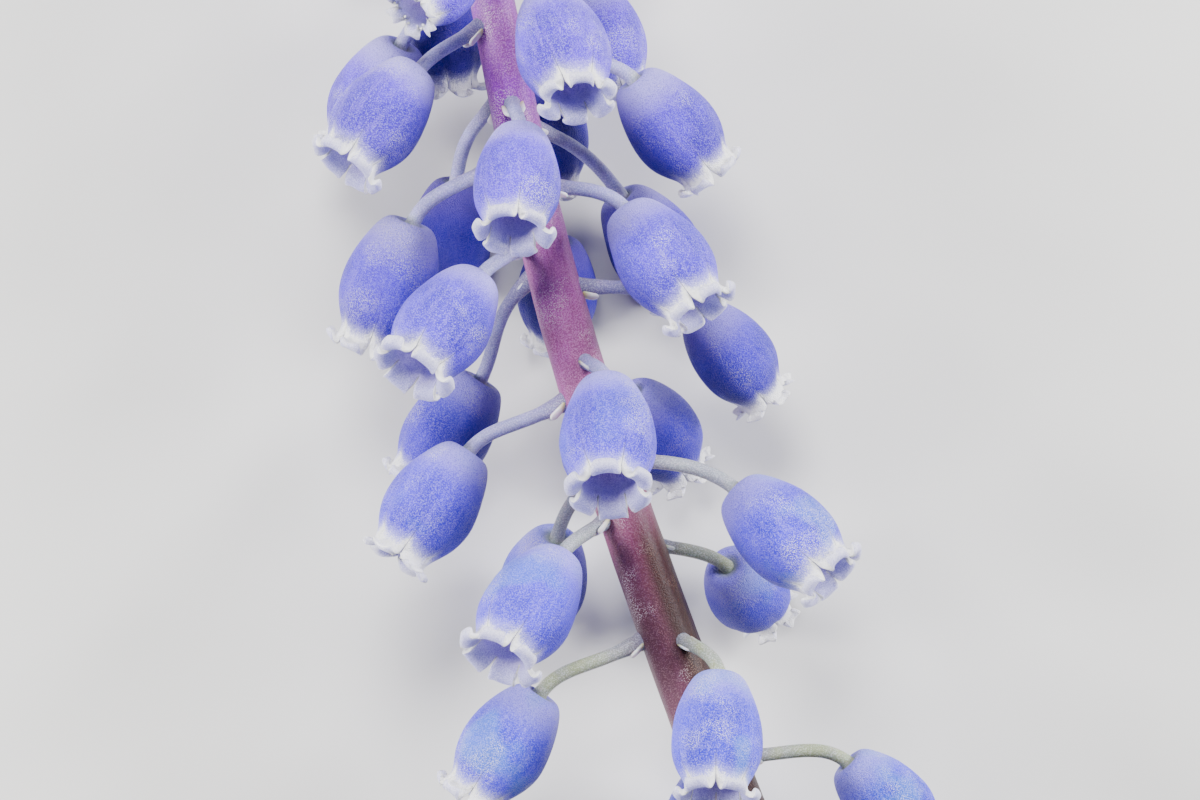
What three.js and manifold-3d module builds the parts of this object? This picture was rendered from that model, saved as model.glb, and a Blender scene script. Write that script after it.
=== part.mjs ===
// A grape hyacinth flower: one picked raceme with its bare scape, lying on its lower florets.
// Millimetres. +Y runs along the scape to the tip, +X is to its right, +Z is up from the table.
import * as THREE from "three";
import Module from "manifold-3d";

const wasm = await Module();
wasm.setup();

const DEG = Math.PI / 180;
const UP = new THREE.Vector3(0, 0, 1);
const GOLDEN_ANGLE = 137.5;
const SEED = 4517;
const DRAW_FACTOR = 16807;
const DRAW_RANGE = 2147483647;

// The scape: points on its middle line, with heights from the level of the raceme's middle.
const AXIS_HEIGHT = 7.6;
const CUT_END_Y = -46;
const SCAPE_TOP_Y = 32.4;
const SCAPE_LINE = [
  [3.8, CUT_END_Y, -6.05],
  [2.3, -32, -3.1],
  [0.85, -18, -0.45],
  [0.2, -8, 0],
  [0, 0, 0],
  [0.2, 8, 0],
  [1.05, 17.5, 0],
  [1.9, 26, -0.2],
  [2.45, SCAPE_TOP_Y, -0.5],
];
const SCAPE_RADII = [
  [CUT_END_Y, 1.5],
  [-18, 1.32],
  [17.5, 0.97],
  [SCAPE_TOP_Y, 0.5],
];
const SCAPE_SIDES = 12;
const SCAPE_RINGS = 26;
const HALVINGS = 30;

// A full-grown floret: an urn with a dimpled crown and six teeth, each turned out at its end.
// Rings are [distance along the floret, radius]; the rim rings also give the tooth's own pair.
const TEETH = 6;
const FLORET_SIDES = 2 * TEETH;
const CROWN_DIMPLE = 0.25;
const URN_OUTSIDE = [
  [0, 0.76],
  [0.5, 1.3],
  [1.7, 1.79],
  [3, 1.98],
  [4.1, 1.74],
];
const RIM_OUTSIDE = { notch: [4.8, 1.38], tooth: [5, 1.66] };
const RIM_INSIDE = { notch: [4.72, 0.98], tooth: [5.4, 1.3] };
const URN_INSIDE = [
  [4.15, 0.92],
  [2.4, 1.25],
];
const CAVITY_FLOOR = 1.2;

// A bud that hasn't opened yet: a plump closed drop, on the same scale as a floret.
const BUD_SIDES = 8;
const BUD_OUTSIDE = [
  [0.25, 1.2],
  [2, 1.95],
  [3.7, 1.5],
];
const BUD_END = 4.7;

// The pedicels: each leaves the scape outwards, arches over and meets its floret's crown.
const PEDICEL_RADIUS = 0.3;
const SMALLEST_PEDICEL = 0.5;
const PEDICEL_SIDES = 5;
const PEDICEL_RINGS = 5;
const PEDICEL_CLEARANCE = 0.3;
const PEDICEL_ROOT_OUT = 0.3;
const PEDICEL_OUT_SHARE = 0.5;
const PEDICEL_SAG_SHARE = 0.15;
const PEDICEL_BEND_SHARE = 0.32;
const BRACT_LENGTH = 0.75;
const BRACT_RADIUS = 0.3;
const BRACT_SLOPE = 0.5;
const BRACT_DROP = 0.55;
const BRACT_SIDES = 4;
const BRACT_TAPER = 0.5;
const ROLL_SPREAD = 9;

// The florets were hanging straight down from a leaning scape; lean is counted from this line.
const PLUMB_LEAN = -17;
const PLUMB = new THREE.Vector3(Math.sin(PLUMB_LEAN * DEG), -Math.cos(PLUMB_LEAN * DEG), 0);

// Florets of the open part, tip end first. root: where the pedicel leaves the scape, along Y.
// crown: x, y and height from the scape's line. lean: swing to the right of plumb, in degrees.
// lift: rise of the mouth from level, in degrees. size: share of a full-grown floret.
const FLORETS = [
  { root: 21, crown: [0.6, 19.3, 3], lean: -42, lift: 38, size: 0.8 },
  { root: 18.6, crown: [-3.2, 16.9, -1.9], lean: -27, lift: -20, size: 0.97 },
  { root: 16.4, crown: [-2.8, 15.4, 2], lean: -38, lift: 17, size: 0.98 },
  { root: 20, crown: [-0.8, 19.3, -3.4], lean: 6, lift: -14, size: 0.9 },
  { root: 18.6, crown: [3.4, 16.7, 2.6], lean: 13, lift: 34, size: 1.02 },
  { root: 18.8, crown: [4.84, 17.3, -1.7], lean: 20, lift: -8, size: 0.95 },
  { root: 14.6, crown: [5.8, 12.5, 0], lean: 39, lift: -12, size: 0.97 },
  { root: 16, crown: [2.15, 14.2, -4.1], lean: 4, lift: -15, size: 0.97 },
  { root: 13.1, crown: [0.6, 11.7, 2.7], lean: -4, lift: 32, size: 0.97 },
  { root: 13.3, crown: [-2.7, 10.7, -2.9], lean: -8, lift: -18, size: 0.97, rests: true },
  { root: 10.8, crown: [-4.92, 9.4, 0.2], lean: -21, lift: -8, size: 1.05 },
  { root: 7.2, crown: [-2.95, 6.25, 2.6], lean: -35, lift: 29, size: 1.01 },
  { root: 9.6, crown: [0.81, 6.95, -3.4], lean: -3, lift: -28, size: 0.9, rests: true },
  { root: 12.2, crown: [3.9, 8, -2.6], lean: 33, lift: -24, size: 0.98, rests: true },
  { root: 9.2, crown: [3.9, 7.2, 1.9], lean: 35, lift: 19, size: 1.02 },
  { root: 4.8, crown: [5.6, 2.2, -0.9], lean: 38, lift: -26, size: 0.92 },
  { root: 6, crown: [-4.15, 2.2, -2.4], lean: -32, lift: -8, size: 0.96 },
  { root: 0.5, crown: [-5.5, -0.6, 0.9], lean: -34, lift: 7, size: 1 },
  { root: 1.9, crown: [1, 0.5, 2.8], lean: 0, lift: 35, size: 1.05 },
  { root: 1.2, crown: [1.8, -0.2, -3.3], lean: 34, lift: -38, size: 0.94 },
  { root: -2.8, crown: [4.9, -5.5, 0.5], lean: 47, lift: 17, size: 1.03 },
  { root: -6.5, crown: [3.55, -8.5, -2], lean: 42, lift: -56, size: 0.91, rests: true },
  { root: -3.2, crown: [-3, -5.2, -2.6], lean: -17, lift: -40, size: 0.97, rests: true },
  { root: -4.9, crown: [-3.06, -5.95, 2.3], lean: -31, lift: 29, size: 1.04 },
  { root: -10.1, crown: [-5.6, -11.3, 0.3], lean: -33, lift: -6, size: 0.98 },
  { root: -10.8, crown: [1.9, -12.7, 2.8], lean: -3, lift: 23, size: 1 },
  { root: -16.1, crown: [6, -17.9, 0.3], lean: 45, lift: -8, size: 0.91 },
  { root: -14.4, crown: [0.8, -16.6, -3.6], lean: -11, lift: -20, size: 1 },
];

// Florets round the base of the raceme and on its far side, in the same terms.
const FAR_FLORETS = [
  { root: -17.6, crown: [-3.9, -19.3, 2.2], lean: -22, lift: 6, size: 1.06 },
  { root: -18.8, crown: [3.9, -21, -2.6], lean: 30, lift: -18, size: 1.05, rests: true },
  { root: -19.6, crown: [-3.6, -21.6, -2.8], lean: -26, lift: -16, size: 1.05, rests: true },
];

// Younger florets above the open part: each a golden angle round from the last, smaller, closer
// in and less bent over towards the tip, until they are closed buds.
const YOUNG_COUNT = 16;
const YOUNG_ROOTS = [22.7, 31.8];
const YOUNG_SIZE = [0.85, 0.46];
const YOUNG_REACH = [3.8, 1.45];
const YOUNG_SPLAY = [48, 88];
const YOUNG_SPLAY_SPREAD = 4;
const YOUNG_DROP = [0.9, -0.2];
const OPEN_ABOVE_SIZE = 0.62;
const YOUNG_FIRST_TURN = 42.5;

// The tight knot of buds at the very tip, round a small core.
const KNOT_BUDS = 16;
const KNOT_LENGTH = 4.6;
const KNOT_RADIUS = 0.95;
const KNOT_CLEARANCE = 0.25;
const KNOT_CORE_SIDES = 8;
const KNOT_CORE = [
  [0.08, 0.7],
  [0.4, 1],
  [0.8, 0.6],
];
const KNOT_BUD_SIDES = 6;
const KNOT_BUD_SIZE = [0.42, 0.22];
const KNOT_BUD_LIFT = [0, 78];
const KNOT_BUD_HEIGHTS = [0.12, 0.86];
const KNOT_BUD_OUT = [0.6, 0.2];

const FLORET_COLOUR = "#6f74d6";
const YOUNG_COLOUR = "#7a5cc6";
const SCAPE_COLOUR = "#8f6480";
const ROUGHNESS = 0.6;

let seed = SEED;

// One number of a repeatable row between -1 and 1.
function draw() {
  seed = (seed * DRAW_FACTOR) % DRAW_RANGE;
  return (2 * seed) / DRAW_RANGE - 1;
}

function mix([from, to], share) {
  return from + (to - from) * share;
}

// A closed skin: rings of equal count joined in order, brought to a point at each end.
function skin(start, rings, end) {
  const sides = rings[0].length;
  const last = 1 + sides * rings.length;
  const points = [start, ...rings.flat(), end];
  const faces = [];
  for (let i = 0; i < sides; i += 1) {
    const j = (i + 1) % sides;
    faces.push(0, 1 + j, 1 + i);
    for (let k = 0; k < rings.length - 1; k += 1) {
      const here = 1 + k * sides;
      const next = here + sides;
      faces.push(here + i, here + j, next + j);
      faces.push(here + i, next + j, next + i);
    }
    faces.push(last, last - sides + i, last - sides + j);
  }
  const geometry = new THREE.BufferGeometry().setFromPoints(points);
  geometry.setIndex(faces);
  return geometry;
}

// One ring round the local Z axis; sizes gives [distance, radius] for a corner's number.
function ring(sides, sizes) {
  return Array.from({ length: sides }, (_, i) => {
    const [along, radius] = sizes(i);
    const turn = (2 * Math.PI * i) / sides;
    return new THREE.Vector3(radius * Math.cos(turn), radius * Math.sin(turn), along);
  });
}

// A tube of rings square to a curve, with a radius for each share of its length.
function tube(curve, sides, count, radiusAt) {
  const frames = curve.computeFrenetFrames(count);
  const rings = [];
  for (let k = 0; k <= count; k += 1) {
    const centre = curve.getPointAt(k / count);
    const radius = radiusAt(k / count);
    rings.push(
      ring(sides, () => [0, radius]).map((p) =>
        centre
          .clone()
          .addScaledVector(frames.normals[k], p.x)
          .addScaledVector(frames.binormals[k], p.y),
      ),
    );
  }
  return skin(curve.getPointAt(0), rings, curve.getPointAt(1));
}

function openFloret() {
  const plain = (pair) => ring(FLORET_SIDES, () => pair);
  const toothed = (rim) => ring(FLORET_SIDES, (i) => (i % 2 ? rim.notch : rim.tooth));
  const rings = [
    ...URN_OUTSIDE.map(plain),
    toothed(RIM_OUTSIDE),
    toothed(RIM_INSIDE),
    ...URN_INSIDE.map(plain),
  ];
  return skin(new THREE.Vector3(0, 0, CROWN_DIMPLE), rings, new THREE.Vector3(0, 0, CAVITY_FLOOR));
}

function closedBud(sides) {
  const rings = BUD_OUTSIDE.map((pair) => ring(sides, () => pair));
  return skin(new THREE.Vector3(), rings, new THREE.Vector3(0, 0, BUD_END));
}

// Where a floret stands: its crown, the way its mouth points, and its size. Tooth pairs lie level.
function standing(crown, aim, size) {
  const side = new THREE.Vector3().crossVectors(UP, aim).normalize();
  const turned = side.applyAxisAngle(aim, ROLL_SPREAD * DEG * draw());
  const across = new THREE.Vector3().crossVectors(aim, turned);
  return new THREE.Matrix4()
    .makeBasis(turned, across, aim)
    .scale(new THREE.Vector3(size, size, size))
    .setPosition(crown);
}

function lowest(geometry) {
  geometry.computeBoundingBox();
  return geometry.boundingBox.min.z;
}

function solid(geometry) {
  const made = new wasm.Mesh({
    numProp: 3,
    vertProperties: new Float32Array(geometry.attributes.position.array),
    triVerts: new Uint32Array(geometry.index.array),
  });
  return new wasm.Manifold(made);
}

function surface(manifold) {
  const { vertProperties, triVerts } = manifold.getMesh();
  const geometry = new THREE.BufferGeometry();
  geometry.setAttribute("position", new THREE.BufferAttribute(vertProperties, 3));
  geometry.setIndex(new THREE.BufferAttribute(triVerts, 1));
  return geometry;
}

const scapeCurve = new THREE.CatmullRomCurve3(SCAPE_LINE.map((p) => new THREE.Vector3(...p)));

// The point of the scape's middle line at a height along Y, found by halving.
function scapeAt(y) {
  let low = 0;
  let high = 1;
  for (let i = 0; i < HALVINGS; i += 1) {
    const middle = (low + high) / 2;
    if (scapeCurve.getPoint(middle).y < y) low = middle;
    else high = middle;
  }
  return scapeCurve.getPoint(low);
}

function scapeRadius(y) {
  const k = SCAPE_RADII.findIndex(([height]) => height >= y);
  const [[y0, r0], [y1, r1]] = SCAPE_RADII.slice(k < 1 ? 0 : k - 1, k < 1 ? 2 : k + 1);
  return THREE.MathUtils.mapLinear(y, y0, y1, r0, r1);
}

function hungFloret({ root, crown, lean, lift, size, rests }) {
  const turn = (PLUMB_LEAN + lean) * DEG;
  const level = Math.cos(lift * DEG);
  const aim = new THREE.Vector3(
    Math.sin(turn) * level,
    -Math.cos(turn) * level,
    Math.sin(lift * DEG),
  );
  return { root, crown: new THREE.Vector3(...crown), aim, size, rests, open: true };
}

function youngFloret(_, k) {
  const share = k / (YOUNG_COUNT - 1);
  const root = mix(YOUNG_ROOTS, share);
  const turn = (YOUNG_FIRST_TURN + GOLDEN_ANGLE * k) * DEG;
  const out = new THREE.Vector3(Math.sin(turn), 0, Math.cos(turn));
  const splay = (mix(YOUNG_SPLAY, share) + YOUNG_SPLAY_SPREAD * draw()) * DEG;
  const aim = out.clone().multiplyScalar(Math.sin(splay));
  aim.y = -Math.cos(splay);
  const crown = scapeAt(root).addScaledVector(out, mix(YOUNG_REACH, share));
  crown.y -= mix(YOUNG_DROP, share);
  const size = mix(YOUNG_SIZE, share);
  return { root, crown, aim, size, open: size > OPEN_ABOVE_SIZE };
}

// A floret in its place. The ones that bear the spike's weight, and any that would sink into the
// table, are moved up or down on their pedicels until they just touch it.
function placed(floret) {
  const geometry = floret.open ? openFloret() : closedBud(BUD_SIDES);
  geometry.applyMatrix4(standing(floret.crown, floret.aim, floret.size));
  const sunk = -AXIS_HEIGHT - lowest(geometry);
  if (floret.rests || sunk > 0) {
    geometry.translate(0, 0, sunk);
    floret.crown.z += sunk;
  }
  return geometry;
}

// The way straight out from the scape towards a floret's crown.
function outward({ root, crown }) {
  const out = crown.clone().sub(scapeAt(root));
  out.y = 0;
  return out.normalize();
}

function pedicel(floret) {
  const { root, crown, aim, size, open } = floret;
  const out = outward(floret);
  const from = scapeAt(root).addScaledVector(out, PEDICEL_ROOT_OUT);
  const seat = crown.clone();
  seat.addScaledVector(aim, (open ? size * CROWN_DIMPLE : 0) - PEDICEL_CLEARANCE);
  const reach = from.distanceTo(seat);
  const leaving = from.clone().addScaledVector(out, PEDICEL_OUT_SHARE * reach);
  leaving.addScaledVector(PLUMB, PEDICEL_SAG_SHARE * reach);
  const bending = seat.clone().addScaledVector(aim, -PEDICEL_BEND_SHARE * reach);
  const route = new THREE.CubicBezierCurve3(from, leaving, bending, seat);
  const radius = PEDICEL_RADIUS * mix([SMALLEST_PEDICEL, 1], size);
  return tube(route, PEDICEL_SIDES, PEDICEL_RINGS, () => radius);
}

// The short blunt bract just below a pedicel's root.
function bract(floret) {
  const y = floret.root - BRACT_DROP;
  const out = outward(floret);
  const from = scapeAt(y).addScaledVector(out, scapeRadius(y) - BRACT_RADIUS);
  const tip = from.clone().addScaledVector(out, BRACT_LENGTH);
  tip.y -= BRACT_LENGTH * BRACT_SLOPE;
  const line = new THREE.LineCurve3(from, tip);
  return tube(line, BRACT_SIDES, 1, (share) => BRACT_RADIUS * (1 - BRACT_TAPER * share));
}

function scape(florets) {
  const stalk = tube(scapeCurve, SCAPE_SIDES, SCAPE_RINGS, (share) =>
    scapeRadius(scapeCurve.getPointAt(share).y),
  );
  const grown = florets
    .flatMap((floret) => [pedicel(floret), bract(floret)])
    .reduce((whole, piece) => whole.add(solid(piece)), solid(stalk));
  return surface(grown);
}

// The knot of buds: a core just clear of the scape's end, with buds crowded round it.
function knot() {
  const foot = scapeAt(SCAPE_TOP_Y);
  const along = scapeCurve.getTangent(1);
  foot.addScaledVector(along, KNOT_CLEARANCE);
  const turned = new THREE.Quaternion().setFromUnitVectors(UP, along);
  const inPlace = new THREE.Matrix4().compose(foot, turned, new THREE.Vector3(1, 1, 1));
  const core = skin(
    new THREE.Vector3(),
    KNOT_CORE.map(([share, width]) =>
      ring(KNOT_CORE_SIDES, () => [share * KNOT_LENGTH, width * KNOT_RADIUS]),
    ),
    new THREE.Vector3(0, 0, KNOT_LENGTH),
  );
  let whole = solid(core);
  for (let k = 0; k < KNOT_BUDS; k += 1) {
    const share = k / (KNOT_BUDS - 1);
    const turn = GOLDEN_ANGLE * k * DEG;
    const lift = mix(KNOT_BUD_LIFT, share) * DEG;
    const aim = new THREE.Vector3(
      Math.cos(turn) * Math.cos(lift),
      Math.sin(turn) * Math.cos(lift),
      Math.sin(lift),
    );
    const base = new THREE.Vector3(0, 0, mix(KNOT_BUD_HEIGHTS, share) * KNOT_LENGTH);
    base.addScaledVector(aim, mix(KNOT_BUD_OUT, share) * KNOT_RADIUS);
    const bud = closedBud(KNOT_BUD_SIDES);
    bud.applyMatrix4(standing(base, aim, mix(KNOT_BUD_SIZE, share)));
    whole = whole.add(solid(bud));
  }
  return surface(whole).applyMatrix4(inPlace);
}

function node(name, geometry, colour) {
  const material = new THREE.MeshStandardMaterial({ color: colour, roughness: ROUGHNESS });
  const mesh = new THREE.Mesh(geometry, material);
  mesh.name = name;
  return mesh;
}

function numbered(stem, k) {
  return `${stem}_${String(k + 1).padStart(2, "0")}`;
}

const spike = new THREE.Group();
spike.name = "grape_hyacinth_flower";
const open = [...FLORETS, ...FAR_FLORETS].map(hungFloret);
const young = Array.from({ length: YOUNG_COUNT }, youngFloret);
open.forEach((f, k) => spike.add(node(numbered("floret", k), placed(f), FLORET_COLOUR)));
young.forEach((f, k) => spike.add(node(numbered("young_floret", k), placed(f), YOUNG_COLOUR)));
spike.add(node("scape", scape([...open, ...young]), SCAPE_COLOUR));
spike.add(node("bud_knot", knot(), YOUNG_COLOUR));

// The origin goes to the middle of the whole spike's footprint, on the table.
const box = new THREE.Box3().setFromObject(spike);
const middle = box.getCenter(new THREE.Vector3());
spike.position.set(-middle.x, -middle.y, -box.min.z);

export default spike;
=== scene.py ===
import math
import random

import bmesh
import bpy
from mathutils import Matrix, Vector, noise


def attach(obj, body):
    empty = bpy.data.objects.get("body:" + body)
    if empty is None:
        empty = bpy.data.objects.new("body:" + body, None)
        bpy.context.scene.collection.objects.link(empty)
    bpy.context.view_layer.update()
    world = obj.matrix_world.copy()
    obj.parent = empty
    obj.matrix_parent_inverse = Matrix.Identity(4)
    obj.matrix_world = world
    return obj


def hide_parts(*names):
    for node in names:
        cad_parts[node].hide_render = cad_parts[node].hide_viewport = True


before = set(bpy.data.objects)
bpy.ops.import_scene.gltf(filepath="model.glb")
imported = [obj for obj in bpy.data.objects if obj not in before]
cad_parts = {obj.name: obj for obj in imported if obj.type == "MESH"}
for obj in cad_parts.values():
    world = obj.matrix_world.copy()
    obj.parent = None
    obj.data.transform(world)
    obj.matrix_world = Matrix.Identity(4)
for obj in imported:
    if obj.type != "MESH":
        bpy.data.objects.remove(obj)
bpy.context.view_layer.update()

MM = 0.001
DEG = math.pi / 180
GOLDEN_ANGLE = 137.5
luck = random.Random(31)

# ---------------------------------------------------------------- camera, lights and table

VIEW_MIDDLE = Vector((0.984, 4.135, 7.6)) * MM
VIEW_DISTANCE = 0.3
VIEW_WIDTH = 0.051
VIEW_ROLL = -17 * DEG


def set_camera():
    data = bpy.data.cameras.new("camera")
    data.sensor_width = 36
    data.lens = data.sensor_width * VIEW_DISTANCE / VIEW_WIDTH
    data.clip_start = 0.01
    data.clip_end = 10
    camera = bpy.data.objects.new("camera", data)
    bpy.context.scene.collection.objects.link(camera)
    camera.location = VIEW_MIDDLE + Vector((0, 0, VIEW_DISTANCE))
    camera.rotation_euler = (0, 0, VIEW_ROLL)
    bpy.context.scene.camera = camera


def soft_light(name, place, size, power, colour):
    data = bpy.data.lights.new(name, "AREA")
    data.shape = "DISK"
    data.size = size
    data.energy = power
    data.color = colour
    light = bpy.data.objects.new(name, data)
    bpy.context.scene.collection.objects.link(light)
    light.location = place
    light.rotation_euler = (-Vector(place)).to_track_quat("-Z", "Y").to_euler()


def set_air(brightness):
    world = bpy.data.worlds.new("air")
    bpy.context.scene.world = world
    world.use_nodes = True
    world.node_tree.nodes["Background"].inputs["Color"].default_value = (0.9, 0.93, 1, 1)
    world.node_tree.nodes["Background"].inputs["Strength"].default_value = brightness


set_camera()
soft_light("left_light", (-0.3, 0.1, 0.17), 0.14, 2.4, (1, 0.99, 0.98))
soft_light("right_light", (0.3, 0.02, 0.17), 0.14, 2.4, (0.98, 0.98, 1))
soft_light("head_light", (0.02, 0.2, 0.3), 0.14, 1.7, (1, 1, 1))
set_air(0.16)


# ---------------------------------------------------------------- node helpers

def add(tree, kind, **settings):
    node = tree.nodes.new("ShaderNode" + kind)
    for key, value in settings.items():
        setattr(node, key, value)
    return node


def feed(tree, socket, source):
    """Puts a number, a colour or another node's output into a socket."""
    if isinstance(source, bpy.types.NodeSocket):
        tree.links.new(source, socket)
    elif isinstance(source, (tuple, list)) and len(source) == 3 and socket.type == "RGBA":
        socket.default_value = (*source, 1)
    else:
        socket.default_value = source


def attribute(tree, name, output="Fac"):
    return add(tree, "Attribute", attribute_name=name).outputs[output]


def reckon(tree, operation, a, b=0.0):
    node = add(tree, "Math", operation=operation)
    feed(tree, node.inputs[0], a)
    feed(tree, node.inputs[1], b)
    return node.outputs[0]


def fade(tree, value, low, high, to_low=0.0, to_high=1.0):
    """A smooth step of a value between two bounds."""
    node = add(tree, "MapRange", interpolation_type="SMOOTHSTEP")
    for socket, source in zip(node.inputs, (value, low, high, to_low, to_high)):
        feed(tree, socket, source)
    return node.outputs[0]


def blend(tree, share, one, other, kind="MIX"):
    node = add(tree, "Mix", data_type="RGBA", blend_type=kind)
    feed(tree, node.inputs["Factor"], share)
    feed(tree, node.inputs[6], one)
    feed(tree, node.inputs[7], other)
    return node.outputs[2]


def stretched(tree, vector, scale):
    node = add(tree, "Mapping")
    feed(tree, node.inputs["Vector"], vector)
    node.inputs["Scale"].default_value = scale
    return node.outputs[0]


def clouds(tree, vector, scale, detail=2.0, roughness=0.5):
    node = add(tree, "TexNoise")
    feed(tree, node.inputs["Vector"], vector)
    node.inputs["Scale"].default_value = scale
    node.inputs["Detail"].default_value = detail
    node.inputs["Roughness"].default_value = roughness
    return node.outputs["Fac"]


def object_place(tree):
    return add(tree, "TexCoord").outputs["Object"]


def colour(text):
    """A colour from its web code, in the shader's own terms."""
    def straight(pair):
        share = int(pair, 16) / 255
        return share / 12.92 if share <= 0.04045 else ((share + 0.055) / 1.055) ** 2.4
    return tuple(straight(text[k:k + 2]) for k in (1, 3, 5))


def new_group(name, takes, gives):
    group = bpy.data.node_groups.new(name, "ShaderNodeTree")
    for label, kind, value in takes:
        socket = group.interface.new_socket(label, in_out="INPUT", socket_type="NodeSocket" + kind)
        if value is not None:
            socket.default_value = value
    for label, kind in gives:
        group.interface.new_socket(label, in_out="OUTPUT", socket_type="NodeSocket" + kind)
    return group, group.nodes.new("NodeGroupInput"), group.nodes.new("NodeGroupOutput")


def make_cell_grain_and_glints():
    """Tiny glistening cells: light and dark specks, painted glints in patches, and their height."""
    group, given, result = new_group(
        "cell_grain_and_glints",
        [("Place", "Vector", None), ("Scale", "Float", 12000.0), ("Speck", "Float", 0.5)],
        [("Light", "Float"), ("Dark", "Float"), ("Painted_Glint", "Float"), ("Height", "Float")],
    )
    fine = add(group, "TexNoise")
    group.links.new(given.outputs["Place"], fine.inputs["Vector"])
    group.links.new(given.outputs["Scale"], fine.inputs["Scale"])
    fine.inputs["Detail"].default_value = 1.0
    fine.inputs["Roughness"].default_value = 0.6
    cells = add(group, "TexVoronoi")
    group.links.new(given.outputs["Place"], cells.inputs["Vector"])
    group.links.new(given.outputs["Scale"], cells.inputs["Scale"])
    patch = clouds(group, given.outputs["Place"], 520.0, 2.0)
    speck = fade(group, fine.outputs["Fac"], 0.46, 0.68)
    light = reckon(group, "MULTIPLY", speck, given.outputs["Speck"])
    bright = fade(group, cells.outputs["Distance"], 0.4, 0.22)
    painted_glint = reckon(group, "MULTIPLY", bright, fade(group, patch, 0.52, 0.64))
    dark = fade(group, fine.outputs["Fac"], 0.5, 0.34)
    height = reckon(group, "SUBTRACT", 1.0, cells.outputs["Distance"])
    group.links.new(light, result.inputs["Light"])
    group.links.new(dark, result.inputs["Dark"])
    group.links.new(painted_glint, result.inputs["Painted_Glint"])
    group.links.new(height, result.inputs["Height"])
    return group


def make_soft_mottle():
    """Broad uneven patches, such as living skin has, from 0 to 1."""
    group, given, result = new_group(
        "soft_mottle",
        [("Place", "Vector", None), ("Scale", "Float", 700.0)],
        [("Patches", "Float")],
    )
    broad = add(group, "TexNoise")
    group.links.new(given.outputs["Place"], broad.inputs["Vector"])
    group.links.new(given.outputs["Scale"], broad.inputs["Scale"])
    broad.inputs["Detail"].default_value = 3
    group.links.new(fade(group, broad.outputs["Fac"], 0.38, 0.62), result.inputs["Patches"])
    return group


CELL_GRAIN_AND_GLINTS = make_cell_grain_and_glints()
SOFT_MOTTLE = make_soft_mottle()


def place_group(tree, group, **values):
    node = add(tree, "Group", node_tree=group)
    for label, value in values.items():
        feed(tree, node.inputs[label], value)
    return node.outputs


def new_material(name, roughness, **sockets):
    material = bpy.data.materials.new(name)
    material.use_nodes = True
    shader = material.node_tree.nodes["Principled BSDF"]
    shader.inputs["Roughness"].default_value = roughness
    for label, value in sockets.items():
        feed(material.node_tree, shader.inputs[label.replace("_", " ")], value)
    return material, material.node_tree, shader


def relief(tree, shader, height, distance, strength=1.0):
    bump = add(tree, "Bump")
    bump.inputs["Strength"].default_value = strength
    bump.inputs["Distance"].default_value = distance
    feed(tree, bump.inputs["Height"], height)
    tree.links.new(bump.outputs["Normal"], shader.inputs["Normal"])


# ---------------------------------------------------------------- finishes

# How many cells of skin there are to a metre.
PETAL_CELLS = 19000.0
STEM_CELLS = 17000.0
HEART_CELLS = 14000.0


def petal_wave(tree, own):
    """1 down the middle of each petal, -1 along the seams between them."""
    parts = add(tree, "SeparateXYZ")
    feed(tree, parts.inputs[0], own)
    turn = reckon(tree, "ARCTAN2", parts.outputs["Y"], parts.outputs["X"])
    return reckon(tree, "COSINE", reckon(tree, "MULTIPLY", turn, 6.0))


def distance_from_crown(tree, own):
    node = add(tree, "VectorMath", operation="LENGTH")
    feed(tree, node.inputs[0], own)
    return node.outputs["Value"]


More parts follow.
